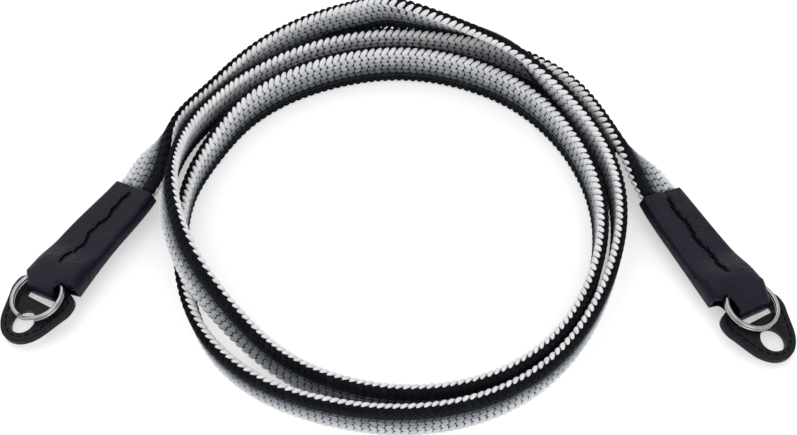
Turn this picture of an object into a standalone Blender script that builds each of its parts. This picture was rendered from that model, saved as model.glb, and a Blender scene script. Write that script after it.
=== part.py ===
"""Camera strap: a flat braided cord lying on edge in a loose coil, with a leather sleeve, a split ring and a
leather protector at each end. Metres, +Z up, standing on z = 0 with its box centred on the origin."""

import math

import bmesh
import bpy
import numpy as np
from mathutils import Matrix, Vector

# Strap
COIL_RADIUS = 0.054
BAND_WIDTH = 0.012
BAND_THICKNESS = 0.003
BAND_EDGE_RADIUS = 0.0011
BAND_END_THICKNESS = 0.0018  # pressed flat and narrow inside the sleeves
BAND_END_WIDTH = 0.0109
BAND_END_TAPER = 0.008  # length over which it is pressed, before the sleeve
RING_STEP = 0.004  # spacing of the strap's cross sections

# Sleeve
LEATHER = 0.0009
SLEEVE_LENGTH = 0.033
SLEEVE_FIT = 0.0003  # gap between strap and leather
SLEEVE_EDGE_RADIUS = 0.0014
STRAP_SETBACK = 0.007  # strap end to the sleeve's shoulder
STRAP_END_GAP = 0.0003
EYE_DEPTH = 0.0024  # how far the eye reaches back from the shoulder
NECK_OFFSET = 0.0007  # neck, tab and ring sit this far off the sleeve's middle, away from the coil
SHOULDER_RISE = 0.010  # length over which the sleeve thickens
SHOULDER_WIDEN = 0.0013  # wider than the mouth, on each side
SHOULDER_SLANT = 0.0002
NECK_SHARE = 0.98  # the neck's thickness beside the shoulder's
NECK_COVE = [  # past the shoulder as a share of the neck's width; the coil side, from the neck (0) to the shoulder (1)
    (0.03, 0.36), (0.08, 0.17), (0.15, 0.07), (0.25, 0.0),
]
NECK_TAPER = 0.75  # share of the neck's length over which its outer side slants in
FOLD_RADIUS = 0.0016

# Protector
PLATE_LENGTH = 0.0197
PLATE_WIDTH = 0.0192
PLATE_THICKNESS = 0.0020
PLATE_BEVEL = 0.0003
BAR_LENGTH = 0.0046  # wide end to the slot
SLOT_LENGTH = 0.0030
SLOT_MARGIN = 0.0018  # wider than the neck
HOLE_CENTRE = 0.0139  # from the wide end
HOLE_LENGTH = 0.0068
HOLE_WIDTH = 0.0070
FOLD_GAP = 0.0005  # slot edge to the folded neck

# Split ring
RING_DIAMETER = 0.0144
RING_WIRE = 0.0011
RING_TURN_PITCH = 0.0009
RING_SEGMENTS = 48
STACK_GAP = 0.0003  # between leather, protector and ring

# Route of the strap's middle, chosen by hand. Turn is in degrees, clockwise from the left as seen from above:
# 90 is the back, 180 the right, 270 the front. Radius is a share of COIL_RADIUS, lift of the lower edge a share
# of BAND_WIDTH, and lean in degrees tips the upper edge towards the coil.
ROUTE = [  # turn, radius, lift, lean
    (-13.5, 1.630, 0.11, 75), (-4.5, 1.418, 0.12, 74), (5.0, 1.255, 0.13, 70), (12.0, 1.200, 0.12, 57),
    (20.0, 1.185, 0.06, 25), (34.0, 1.136, 0.00, 10), (51.0, 1.122, 0.04, 2), (62.0, 1.110, 0.18, 0),
    (72.0, 1.086, 0.40, 2), (80.0, 1.058, 0.64, 4), (86.0, 1.030, 0.88, 6), (91.0, 0.992, 1.03, 9),
    (98.0, 0.962, 1.08, 17), (107.0, 0.952, 1.08, 28), (117.0, 0.955, 1.08, 36), (126.0, 0.948, 1.04, 30),
    (135.0, 0.943, 0.86, 17), (145.0, 0.964, 0.54, 7), (157.0, 1.004, 0.18, 0), (172.0, 1.030, 0.00, -3),
    (190.0, 1.034, 0.00, -3), (207.0, 1.042, 0.00, -3), (222.0, 1.067, 0.00, -3), (235.0, 1.086, 0.00, -2),
    (250.0, 1.092, 0.00, 0), (270.0, 1.088, 0.00, 0), (288.0, 1.095, 0.00, -3), (302.0, 1.114, 0.00, -5),
    (314.0, 1.119, 0.00, -6), (324.0, 1.104, 0.00, -8), (335.0, 1.068, 0.00, -8), (346.0, 1.036, 0.00, -3),
    (358.0, 1.012, 0.00, 2), (369.0, 0.988, 0.00, 3), (382.0, 0.952, 0.00, 0), (396.0, 0.932, 0.00, -3),
    (410.0, 0.905, 0.00, -4), (426.0, 0.874, 0.00, -4), (450.0, 0.860, 0.00, -4), (470.0, 0.864, 0.00, -4),
    (490.0, 0.884, 0.00, -4), (510.0, 0.902, 0.00, -3), (540.0, 0.942, 0.00, -3), (565.0, 0.972, 0.00, -3),
    (590.0, 1.010, 0.00, -2), (610.0, 1.010, 0.00, 0), (630.0, 0.990, 0.00, 0), (652.0, 0.972, 0.00, 0),
    (664.0, 0.970, 0.08, 1), (676.0, 0.982, 0.38, 4), (686.0, 1.008, 0.78, 9), (695.0, 1.032, 1.06, 13),
    (705.0, 1.044, 1.12, 15), (716.0, 1.056, 1.08, 14), (726.0, 1.060, 0.80, 10), (737.0, 1.062, 0.48, 7),
    (749.0, 1.052, 0.22, 4), (762.0, 1.030, 0.05, 0), (776.0, 0.998, 0.00, -4), (792.0, 0.978, 0.00, -4),
    (808.0, 0.970, 0.00, -4), (820.0, 0.973, 0.00, -3), (830.0, 0.990, 0.00, -2), (840.0, 1.015, 0.00, -3),
    (850.0, 1.042, 0.00, -6), (859.0, 1.064, 0.00, -7), (868.0, 1.080, 0.00, -2), (877.0, 1.106, 0.00, 11),
    (885.0, 1.156, 0.05, 34), (893.0, 1.213, 0.12, 61), (905.0, 1.362, 0.12, 72), (915.6, 1.605, 0.12, 77),
]

# Outline of a protector: share of its length from the wide end, share of its half width
PLATE_OUTLINE = [
    (0.00, 0.36), (0.015, 0.45), (0.05, 0.50), (0.08, 0.53), (0.103, 0.64), (0.13, 0.79), (0.17, 0.92),
    (0.23, 0.985), (0.31, 1.00), (0.38, 0.985), (0.44, 0.94), (0.57, 0.84), (0.68, 0.76), (0.78, 0.67),
    (0.86, 0.56), (0.915, 0.45), (0.957, 0.33), (0.984, 0.20),
]

# The two ends: which end of the route, pitch of the tab, neck length past the shoulder and width, protector's turn
ENDS = {  # name: at start, pitch, neck reach, neck width, yaw
    "left": (True, 5.5, 0.0043, 0.0082, 4.5),
    "right": (False, 4.3, 0.0070, 0.0101, 3.0),
}


def material(name, colour, roughness, metallic=0.0):
    mat = bpy.data.materials.new(name)
    mat.use_nodes = True
    shader = mat.node_tree.nodes["Principled BSDF"]
    shader.inputs["Base Color"].default_value = (*colour, 1)
    shader.inputs["Roughness"].default_value = roughness
    shader.inputs["Metallic"].default_value = metallic
    mat.diffuse_color = (*colour, 1)
    return mat


def finish(name, mesh, mat, smooth=True):
    mesh.materials.append(mat)
    if smooth:
        mesh.shade_smooth()
        mesh.set_sharp_from_angle(angle=math.radians(40))
    obj = bpy.data.objects.new(name, mesh)
    bpy.context.collection.objects.link(obj)
    return obj


def natural_spline(at, values):
    """Natural cubic spline through the rows of values; returns a function of the same parameter."""
    count = len(at)
    gap = np.diff(at)
    system = np.zeros((count, count))
    right = np.zeros_like(values)
    system[0, 0] = system[-1, -1] = 1
    for i in range(1, count - 1):
        system[i, i - 1:i + 2] = gap[i - 1], 2 * (gap[i - 1] + gap[i]), gap[i]
        right[i] = 6 * ((values[i + 1] - values[i]) / gap[i] - (values[i] - values[i - 1]) / gap[i - 1])
    bend = np.linalg.solve(system, right)

    def value(x):
        k = np.clip(np.searchsorted(at, x) - 1, 0, count - 2)
        h = gap[k][:, None]
        d = (x - at[k])[:, None]
        e = h - d
        cubic = (bend[k] * e ** 3 + bend[k + 1] * d ** 3) / (6 * h)
        return cubic + (values[k] / h - bend[k] * h / 6) * e + (values[k + 1] / h - bend[k + 1] * h / 6) * d

    return value


def route_frames():
    """Centres and frames along the strap: forward, edge (towards the upper edge) and face (outward)."""
    rows = np.array(ROUTE)
    angle = np.radians(rows[:, 0])
    radius = rows[:, 1] * COIL_RADIUS
    data = np.c_[-radius * np.cos(angle), radius * np.sin(angle), rows[:, 2] * BAND_WIDTH, np.radians(rows[:, 3])]
    at = np.r_[0, np.cumsum(np.hypot(*np.diff(data[:, :2], axis=0).T))]
    fine = natural_spline(at, data)(np.linspace(0, at[-1], 2001))
    lean = fine[:, 3]
    height = BAND_WIDTH / 2 * np.cos(lean) + BAND_THICKNESS / 2 * np.abs(np.sin(lean))
    centre = np.c_[fine[:, :2], np.maximum(fine[:, 2], 0) + height]
    along = np.r_[0, np.cumsum(np.linalg.norm(np.diff(centre, axis=0), axis=1))]
    forward = np.gradient(centre, axis=0)
    forward /= np.linalg.norm(forward, axis=1)[:, None]
    side = np.c_[-forward[:, 1], forward[:, 0], np.zeros(len(forward))]
    side /= np.linalg.norm(side, axis=1)[:, None]
    up = np.cross(forward, side)
    c, s = np.cos(lean)[:, None], np.sin(lean)[:, None]
    return along, np.hstack([centre, forward, c * up - s * side, c * side + s * up])


ALONG, FRAMES = route_frames()
ROUTE_LENGTH = ALONG[-1]


def frame_at(distance):
    """Centre, forward, edge and face at a distance along the route, run on straight past its ends."""
    inside = min(max(distance, 0.0), ROUTE_LENGTH)
    row = [np.interp(inside, ALONG, FRAMES[:, i]) for i in range(12)]
    centre, forward, edge, face = (Vector(row[i:i + 3]) for i in (0, 3, 6, 9))
    return centre + forward * (distance - inside), forward, edge, face


def rounded_rectangle(half_width, low, high, radius, steps, across=1):
    """Points (across, normal) round a rectangle with rounded corners; across splits its long sides."""
    radius = min(radius, half_width * 0.95, (high - low) / 2 * 0.95)
    points = []
    for corner, (sx, sy) in enumerate(((1, 1), (-1, 1), (-1, -1), (1, -1))):
        cx = sx * (half_width - radius)
        cy = (high - radius) if sy > 0 else (low + radius)
        for i in range(steps + 1):
            turn = math.radians(90 * corner + 90 * i / steps)
            points.append((cx + radius * math.cos(turn), cy + radius * math.sin(turn)))
        if corner in (0, 2):
            reach = 2 * (half_width - radius)
            points += [(cx - sx * reach * i / across, points[-1][1]) for i in range(1, across)]
    return points


def loft(sections):
    """A closed solid through rings of points."""
    bm = bmesh.new()
    rings = [[bm.verts.new(p) for p in section] for section in sections]
    for first, second in zip(rings, rings[1:]):
        for i in range(len(first)):
            j = (i + 1) % len(first)
            bm.faces.new((first[i], first[j], second[j], second[i]))
    bm.faces.new(rings[0][::-1])
    bm.faces.new(rings[-1])
    bmesh.ops.recalc_face_normals(bm, faces=bm.faces)
    mesh = bpy.data.meshes.new("loft")
    bm.to_mesh(mesh)
    bm.free()
    return mesh


def place(points, centre, edge, face):
    return [centre + edge * b + face * a for b, a in points]


def prism(outline, low, high, matrix=Matrix()):
    """A flat outline of (x, y) points raised from low to high."""
    return loft([[matrix @ Vector((x, y, z)) for x, y in outline] for z in (low, high)])


def cutter(name, mesh, target, operation="DIFFERENCE"):
    obj = bpy.data.objects.new(name, mesh)
    bpy.context.collection.objects.link(obj)
    obj.hide_render = True
    obj.display_type = "WIRE"
    boolean = target.modifiers.new(name, "BOOLEAN")
    boolean.operation = operation
    boolean.object = obj
    return obj


def ellipse(cx, cy, rx, ry, count):
    turns = [2 * math.pi * i / count for i in range(count)]
    return [(cx + rx * math.cos(t), cy + ry * math.sin(t)) for t in turns]


def strap_distance(at_start, depth):
    """Distance along the route of a point this deep behind an end's shoulder."""
    return depth if at_start else ROUTE_LENGTH - depth


def build_strap(mat):
    start, end = STRAP_SETBACK, ROUTE_LENGTH - STRAP_SETBACK
    count = max(12, round((end - start) / RING_STEP))
    sections = []
    for i in range(count + 1):
        distance = start + (end - start) * i / count
        centre, forward, edge, face = frame_at(distance)
        from_end = min(distance, ROUTE_LENGTH - distance)
        swell = min(max((from_end - SLEEVE_LENGTH - RING_STEP) / BAND_END_TAPER, 0.0), 1.0)
        thickness = BAND_END_THICKNESS + (BAND_THICKNESS - BAND_END_THICKNESS) * swell
        width = BAND_END_WIDTH + (BAND_WIDTH - BAND_END_WIDTH) * swell
        points = rounded_rectangle(width / 2, -thickness / 2, thickness / 2, BAND_EDGE_RADIUS, 1, 4)
        sections.append(place(points, centre, edge, face))
    return finish("strap_band", loft(sections), mat)


def tab_frame(at_start, pitch):
    """Frame of a tab at its shoulder: x out along the tab, y across towards the coil, z off its face."""
    centre, forward, edge, face = frame_at(strap_distance(at_start, 0.0))
    out = -forward if at_start else forward
    turn = math.radians(pitch)
    x = out * math.cos(turn) - face * math.sin(turn)
    z = face * math.cos(turn) + out * math.sin(turn)
    across = edge if z.cross(x).dot(edge) > 0 else -edge
    matrix = Matrix((x, across, z)).transposed().to_4x4()
    matrix.translation = centre
    return matrix


# Levels in a tab's frame, from the bottom leather up
HALF_INSIDE = BAND_END_THICKNESS / 2 + SLEEVE_FIT
SLEEVE_BOTTOM = -HALF_INSIDE - LEATHER
EYE_BOTTOM = -HALF_INSIDE
PLATE_BOTTOM = EYE_BOTTOM + STACK_GAP
PLATE_TOP = PLATE_BOTTOM + PLATE_THICKNESS
RING_BOTTOM = PLATE_TOP + STACK_GAP
RING_TOP = RING_BOTTOM + RING_WIRE + RING_TURN_PITCH
EYE_TOP = RING_TOP + STACK_GAP
NECK_TOP = EYE_TOP + LEATHER
SIDE_TOP = PLATE_TOP + STACK_GAP + LEATHER
SLEEVE_TOP = HALF_INSIDE + LEATHER
MOUTH_HALF_WIDTH = BAND_END_WIDTH / 2 + SLEEVE_FIT + LEATHER
SLEEVE_HALF_WIDTH = MOUTH_HALF_WIDTH + SHOULDER_WIDEN
RING_CENTRE = RING_DIAMETER / 2 - EYE_DEPTH + STACK_GAP


def domed_section(half_width, middle, side):
    """Points round a sleeve section: flat below, arched from the sides to the middle above."""
    points = rounded_rectangle(half_width, SLEEVE_BOTTOM, side, SLEEVE_EDGE_RADIUS, 3)

    def rise(b):
        return (middle - side) * math.sqrt(max(0.0, 1 - (b / half_width) ** 4))

    arched = []
    right, left = points[3][0], points[4][0]
    for i, (b, a) in enumerate(points):
        upper = 1 - (side - a) / SLEEVE_EDGE_RADIUS if i < 8 else 0
        arched.append((b, a + upper * rise(b)))
        if i == 3:
            for k in range(1, 8):
                b = right + (left - right) * k / 8
                arched.append((b, side + rise(b)))
    return arched


def build_sleeve(name, end, mat):
    at_start, pitch, reach, neck, yaw = end
    tab = tab_frame(at_start, pitch)
    sections = []
    steps = 14
    for i in range(steps + 1):
        depth = SLEEVE_LENGTH - (SLEEVE_LENGTH - EYE_DEPTH) * i / steps
        centre, forward, edge, face = frame_at(strap_distance(at_start, depth))
        rise = min(max((SHOULDER_RISE + EYE_DEPTH - depth) / SHOULDER_RISE, 0.0), 1.0)
        rise = rise * rise * (3 - 2 * rise)
        middle = SLEEVE_TOP + (NECK_TOP - SLEEVE_TOP) * rise
        side = SLEEVE_TOP + (SIDE_TOP - SLEEVE_TOP) * rise
        sign = 1 if edge.dot(tab.col[1].to_3d()) > 0 else -1
        points = domed_section(SLEEVE_HALF_WIDTH - SHOULDER_WIDEN * depth / SLEEVE_LENGTH, middle, side)
        sections.append(place(points, centre, edge * sign, face))
    x, across, z = (tab.col[i].to_3d() for i in range(3))

    outer = -NECK_OFFSET if at_start else NECK_OFFSET  # middle of the neck
    neck_edge = (neck / 2 + NECK_OFFSET) / SLEEVE_HALF_WIDTH
    neck_side = SIDE_TOP + (NECK_TOP - SIDE_TOP) * math.sqrt(1 - neck_edge ** 4)
    level = (NECK_TOP + SLEEVE_BOTTOM) / 2

    def tab_section(out, widening, side, squash):
        coil = 1 if at_start else -1
        taper = max(0.0, 1 - out / (NECK_TAPER * reach))
        near = coil * (neck / 2 * (1 - widening) + SLEEVE_HALF_WIDTH * widening) + outer * (1 - widening)
        far = -coil * (neck / 2 * (1 - taper) + SLEEVE_HALF_WIDTH * taper) + outer * (1 - taper)
        aside = (near + far) / 2
        section = domed_section(abs(near - far) / 2, NECK_TOP, side)
        points = [(b + aside, level + (a - level) * squash) for b, a in section]
        return place(points, tab.translation + x * out, across, z)

    sections.append(tab_section(-SHOULDER_SLANT, 1, SIDE_TOP, 1))
    for share, widening in NECK_COVE:
        side = neck_side + (SIDE_TOP - neck_side) * widening
        sections.append(tab_section(share * neck, widening, side, NECK_SHARE))
    for turn in (0, 30, 55, 75):
        t = math.radians(turn)
        out = reach - FOLD_RADIUS * (1 - math.sin(t))
        sections.append(tab_section(out, 0, neck_side, NECK_SHARE * math.cos(t)))
    sleeve = finish(name, loft(sections), mat)

    pocket = []
    for i in range(17):
        depth = STRAP_SETBACK - STRAP_END_GAP + (SLEEVE_LENGTH + 0.003 - STRAP_SETBACK) * i / 16
        centre, forward, edge, face = frame_at(strap_distance(at_start, depth))
        half = HALF_INSIDE + max(0.0, depth - SLEEVE_LENGTH) * 0.1
        points = rounded_rectangle(BAND_END_WIDTH / 2 + SLEEVE_FIT, -half, half, BAND_EDGE_RADIUS, 1, 4)
        pocket.append(place(points, centre, edge, face))
    cutter(name + "_pocket", loft(pocket), sleeve)

    inner = reach - LEATHER
    wide = SLEEVE_HALF_WIDTH * 2
    room = SLEEVE_HALF_WIDTH - LEATHER
    half_box = [(-EYE_DEPTH, room), (-SHOULDER_SLANT, room), (SHOULDER_SLANT, wide), (inner, wide)]
    box = half_box + [(px, -py) for px, py in reversed(half_box)]
    cutter(name + "_eye", prism(box, EYE_BOTTOM, PLATE_TOP + STACK_GAP, tab), sleeve)
    room = RING_DIAMETER / 2 + STACK_GAP
    well = [p for p in ellipse(RING_CENTRE, outer, room, room, 48) if p[0] < inner - STACK_GAP]
    cutter(name + "_ring_well", prism(well, PLATE_TOP, EYE_TOP, tab), sleeve)
    return sleeve


def build_protector(name, end, mat):
    at_start, pitch, reach, neck, yaw = end
    tab = tab_frame(at_start, pitch)
    slot_start = reach - LEATHER - FOLD_GAP
    slot_half = (neck + SLOT_MARGIN) / 2
    slot_middle = slot_start + SLOT_LENGTH / 2
    sign = 1 if at_start else -1
    aside = -sign * NECK_OFFSET
    pivot = Matrix.Translation((slot_middle, aside, 0))
    turned = tab @ pivot @ Matrix.Rotation(math.radians(-sign * yaw), 4, "Z") @ Matrix.Translation((-slot_middle, 0, 0))
    wide_end = slot_start - BAR_LENGTH
    half = [(wide_end + s * PLATE_LENGTH, w * PLATE_WIDTH / 2) for s, w in PLATE_OUTLINE]
    outline = half + [(wide_end + PLATE_LENGTH, 0)] + [(px, -py) for px, py in reversed(half)]
    plate = finish(name, prism(outline, PLATE_BOTTOM, PLATE_TOP, turned), mat)
    bevel = plate.modifiers.new("edge", "BEVEL")
    bevel.width = PLATE_BEVEL
    bevel.segments = 1
    bevel.limit_method = "ANGLE"
    bevel.angle_limit = math.radians(60)
    hole = ellipse(wide_end + HOLE_CENTRE, 0, HOLE_LENGTH / 2, HOLE_WIDTH / 2, 32)
    cutter(name + "_hole", prism(hole, -PLATE_WIDTH, PLATE_WIDTH, turned), plate)
    slot = [(slot_middle + px, py) for px, py in
            rounded_rectangle(SLOT_LENGTH / 2, -slot_half, slot_half, SLOT_LENGTH * 0.3, 3)]
    cutter(name + "_slot", prism(slot, -PLATE_WIDTH, PLATE_WIDTH, turned), plate)
    return plate


def build_ring(name, end, mat):
    at_start, pitch, reach, neck, yaw = end
    tab = tab_frame(at_start, pitch)
    aside = -NECK_OFFSET if at_start else NECK_OFFSET
    radius = RING_WIRE / 2
    middle = RING_DIAMETER / 2 - radius
    section = []
    for low, first, last in ((0, 205, 335), (RING_TURN_PITCH, 25, 155)):
        for i in range(5):
            turn = math.radians(first + (last - first) * i / 4)
            section.append((middle + radius * math.cos(turn), RING_BOTTOM + radius + low + radius * math.sin(turn)))
    waist = radius * 0.80
    section.insert(5, (middle + waist, RING_BOTTOM + radius + RING_TURN_PITCH / 2))
    section.append((middle - waist, RING_BOTTOM + radius + RING_TURN_PITCH / 2))
    bm = bmesh.new()
    rings = []
    for i in range(RING_SEGMENTS):
        t = 2 * math.pi * i / RING_SEGMENTS
        ring = [tab @ Vector((RING_CENTRE + r * math.cos(t), aside + r * math.sin(t), h)) for r, h in section]
        rings.append([bm.verts.new(p) for p in ring])
    for i, first in enumerate(rings):
        second = rings[(i + 1) % RING_SEGMENTS]
        for k in range(len(first)):
            m = (k + 1) % len(first)
            bm.faces.new((first[k], first[m], second[m], second[k]))
    bmesh.ops.recalc_face_normals(bm, faces=bm.faces)
    mesh = bpy.data.meshes.new(name)
    bm.to_mesh(mesh)
    bm.free()
    return finish(name, mesh, mat)


def main():
    for obj in list(bpy.data.objects):
        bpy.data.objects.remove(obj, do_unlink=True)
    braid = material("braid", (0.22, 0.23, 0.25), 0.8)
    leather = material("leather", (0.022, 0.024, 0.031), 0.5)
    protector = material("protector_leather", (0.018, 0.018, 0.022), 0.6)
    nickel = material("nickel", (0.62, 0.62, 0.64), 0.2, 1.0)
    made = [build_strap(braid)]
    for side, end in ENDS.items():
        made.append(build_sleeve("sleeve_" + side, end, leather))
        made.append(build_ring("ring_" + side, end, nickel))
        made.append(build_protector("protector_" + side, end, protector))
    bpy.context.view_layer.update()
    graph = bpy.context.evaluated_depsgraph_get()
    corners = []
    for obj in made:
        mesh = obj.evaluated_get(graph).to_mesh()
        corners += [v.co.copy() for v in mesh.vertices]
    low = [min(c[i] for c in corners) for i in range(3)]
    high = [max(c[i] for c in corners) for i in range(3)]
    shift = Matrix.Translation((-(low[0] + high[0]) / 2, -(low[1] + high[1]) / 2, -low[2]))
    root = bpy.data.objects.new("strap_origin", None)
    bpy.context.collection.objects.link(root)
    root.matrix_world = shift
    for obj in bpy.data.objects:
        if obj is not root:
            obj.parent = root


main()
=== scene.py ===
import math

import bmesh
import bpy
import numpy as np
from mathutils import Matrix, Vector


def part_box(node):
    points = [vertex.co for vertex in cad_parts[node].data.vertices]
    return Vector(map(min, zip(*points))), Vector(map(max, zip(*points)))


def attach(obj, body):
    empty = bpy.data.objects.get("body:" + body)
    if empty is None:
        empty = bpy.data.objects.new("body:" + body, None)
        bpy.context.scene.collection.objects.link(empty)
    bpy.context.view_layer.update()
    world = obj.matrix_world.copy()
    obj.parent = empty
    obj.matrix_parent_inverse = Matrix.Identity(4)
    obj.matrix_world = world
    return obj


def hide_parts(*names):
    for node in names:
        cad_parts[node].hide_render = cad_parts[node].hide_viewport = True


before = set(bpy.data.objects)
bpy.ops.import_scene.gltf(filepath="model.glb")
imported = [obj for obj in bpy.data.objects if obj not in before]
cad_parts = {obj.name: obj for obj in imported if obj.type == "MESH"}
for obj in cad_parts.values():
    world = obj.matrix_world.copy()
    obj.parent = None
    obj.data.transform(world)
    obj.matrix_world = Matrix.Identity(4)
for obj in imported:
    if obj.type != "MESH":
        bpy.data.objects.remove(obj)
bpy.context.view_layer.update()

# A coiled camera strap: a flat braided cord on edge, with a leather sleeve, a split ring and a leather tab
# at each end.


# Node helpers

def feed(socket, value):
    if isinstance(value, Maths):
        value.tree.links.new(value.socket, socket)
    else:
        socket.default_value = value


class Maths:
    def __init__(self, tree, socket):
        self.tree = tree
        self.socket = socket

    def join(self, operation, other, swapped=False):
        node = self.tree.nodes.new("ShaderNodeMath")
        node.operation = operation
        pair = (other, self) if swapped else (self, other)
        for socket, value in zip(node.inputs, pair):
            feed(socket, value)
        return Maths(self.tree, node.outputs[0])

    def __add__(self, other):
        return self.join("ADD", other)

    def __radd__(self, other):
        return self.join("ADD", other, True)

    def __sub__(self, other):
        return self.join("SUBTRACT", other)

    def __rsub__(self, other):
        return self.join("SUBTRACT", other, True)

    def __mul__(self, other):
        return self.join("MULTIPLY", other)

    def __rmul__(self, other):
        return self.join("MULTIPLY", other, True)

    def sine(self):
        return self.join("SINE", 0.0)

    def within(self, low, high):
        return self.join("MAXIMUM", low).join("MINIMUM", high)

    def output(self, name):
        return Maths(self.tree, self.socket.node.outputs[name])


def setStops(elements, stops):
    while len(elements) < len(stops):
        elements.new(0.5)
    for element, (position, colour) in zip(elements, stops):
        element.position = position
        element.color = (*colour, 1)


class Nodes:
    def __init__(self, tree):
        self.tree = tree

    def node(self, kind, settings=None, sockets=None, output=0):
        made = self.tree.nodes.new(kind)
        for key, value in (settings or {}).items():
            if key == "stops":
                setStops(made.color_ramp.elements, value)
            else:
                setattr(made, key, value)
        for key, value in (sockets or {}).items():
            feed(made.inputs[key], value)
        return Maths(self.tree, made.outputs[output])


class Finish(Nodes):
    def __init__(self, name, **values):
        self.material = bpy.data.materials.new(name)
        self.material.use_nodes = True
        super().__init__(self.material.node_tree)
        self.shader = self.tree.nodes["Principled BSDF"]
        self.give(**values)
        self.place = self.node("ShaderNodeTexCoord", output="Object")

    def give(self, **values):
        for key, value in values.items():
            feed(self.shader.inputs[key.replace("_", " ")], value)

    def attribute(self, name):
        return self.node("ShaderNodeAttribute", {"attribute_name": name}, output="Fac")

    def noise(self, scale, detail, roughness=0.5):
        sockets = {"Vector": self.place, "Scale": scale, "Detail": detail, "Roughness": roughness}
        return self.node("ShaderNodeTexNoise", None, sockets)

    def blend(self, share, first, second, kind="MIX"):
        # the Mix node's colour form: factor in socket 0, colours in 6 and 7, result in 2
        first, second = (c if isinstance(c, Maths) else (*c, 1) for c in (first, second))
        settings = {"data_type": "RGBA", "blend_type": kind}
        return self.node("ShaderNodeMix", settings, {0: share, 6: first, 7: second}, 2)

    def bump(self, height, strength, distance, below=None):
        sockets = {"Height": height, "Strength": strength, "Distance": distance}
        if below:
            sockets["Normal"] = below
        return self.node("ShaderNodeBump", None, sockets)


# Finishes

# from the darkest yarn to the lightest
yarnShades = [
    (0.0, (0.0030, 0.0032, 0.0060)), (0.20, (0.016, 0.020, 0.026)), (0.42, (0.125, 0.142, 0.158)),
    (0.62, (0.34, 0.36, 0.395)), (0.80, (0.60, 0.62, 0.65)), (1.0, (0.84, 0.84, 0.85)),
]

leathers = {
    "sleeveLeather": {
        "dark": (0.0020, 0.0026, 0.0084),
        "light": (0.0040, 0.0050, 0.0142),
        "roughness": 0.40,
        "grain": 2400.0,  # cells a metre
        "relief": 0.35,
    },
    "tabLeather": {
        "dark": (0.0020, 0.0022, 0.0044),
        "light": (0.0042, 0.0045, 0.0078),
        "roughness": 0.42,
        "grain": 1500.0,
        "relief": 0.9,
    },
}


def yarnFinish():
    finish = Finish("yarn", Roughness=0.9, Specular_IOR_Level=0.12)
    shade = finish.attribute("shade")
    strand = finish.attribute("strand")
    fuzz = finish.noise(2600.0, 3.0)  # single fibres
    patch = finish.noise(160.0, 2.0)  # slow change along the strap
    ply = (strand * 17.0 + (fuzz - 0.5) * 2.2).sine()  # the plies that a stitch is laid from
    level = (shade + (patch - 0.5) * 0.10 + ply * 0.02).within(0.0, 1.0)
    colour = finish.node("ShaderNodeValToRGB", {"stops": yarnShades}, {"Fac": level})
    # painted shade: the yarn is darkened along the grooves between its plies, and the fuzz varies the fibres'
    # tone at random
    plyShadeAndFibreTone = (0.86 + ply * 0.08 + (fuzz - 0.5) * 0.35).join("MINIMUM", 1.0)
    grey = finish.node("ShaderNodeCombineColor", None, {"Red": plyShadeAndFibreTone, "Green": plyShadeAndFibreTone, "Blue": plyShadeAndFibreTone})
    finish.give(Base_Color=finish.blend(1.0, colour, grey, "MULTIPLY"))
    finish.give(Normal=finish.bump(ply * 0.5 + fuzz, 0.5, 0.00008))
    return finish.material


def coreFinish():
    finish = Finish("braidCore", Roughness=0.95, Specular_IOR_Level=0.08)
    fuzz = finish.noise(1800.0, 2.0)
    # painted shade: the core is near black so the gaps between the stitches show dark, and the fuzz varies
    # its tone at random
    finish.give(Base_Color=finish.blend(fuzz, (0.004, 0.004, 0.006), (0.016, 0.017, 0.021)))
    finish.give(Normal=finish.bump(fuzz, 0.5, 0.0001))
    return finish.material


def leatherFinish(name):
    look = leathers[name]
    finish = Finish(name, Specular_IOR_Level=0.17)
    sockets = {"Vector": finish.place, "Scale": look["grain"]}
    cells = finish.node("ShaderNodeTexVoronoi", {"feature": "SMOOTH_F1"}, sockets)
    fine = finish.noise(look["grain"] * 1.7, 4.0)
    broad = finish.noise(90.0, 3.0)  # where the dye is lighter
    crease = finish.noise(420.0, 5.0, 0.62)
    finish.give(Base_Color=finish.blend((broad * 1.6 - 0.3).within(0.0, 1.0), look["dark"], look["light"]))
    finish.give(Roughness=look["roughness"] + (crease - 0.5) * 0.30 + (fine - 0.5) * 0.14)
    creased = finish.bump(crease, 0.8, 0.0005)
    finish.give(Normal=finish.bump(cells * 0.8 + fine * 0.5, look["relief"], 0.00006, creased))
    return finish.material


def threadFinish():
    finish = Finish("blackThread", Roughness=0.8, Specular_IOR_Level=0.04)
    twist = finish.noise(5200.0, 2.0)
    finish.give(Base_Color=finish.blend(twist, (0.0008, 0.0008, 0.0012), (0.0030, 0.0030, 0.0040)))
    finish.give(Normal=finish.bump(twist, 0.4, 0.00005))
    return finish.material


def nickelFinish():
    finish = Finish("nickel", Metallic=1.0)
    wear = finish.noise(700.0, 4.0)
    scratch = finish.noise(3600.0, 2.0)
    finish.give(Base_Color=finish.blend(wear, (0.27, 0.27, 0.29), (0.43, 0.425, 0.42)))
    finish.give(Roughness=0.13 + wear * 0.12 + scratch * 0.05)
    finish.give(Normal=finish.bump(scratch, 0.06, 0.00003))
    return finish.material


def floorFinish():
    finish = Finish("paleFloor", Roughness=0.75, Emission_Color=(1, 1, 1, 1), Emission_Strength=0.42)
    finish.give(Base_Color=finish.blend(finish.noise(3.0, 2.0), (0.66, 0.66, 0.66), (0.68, 0.68, 0.68)))
    return finish.material


# The strap's route

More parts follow.
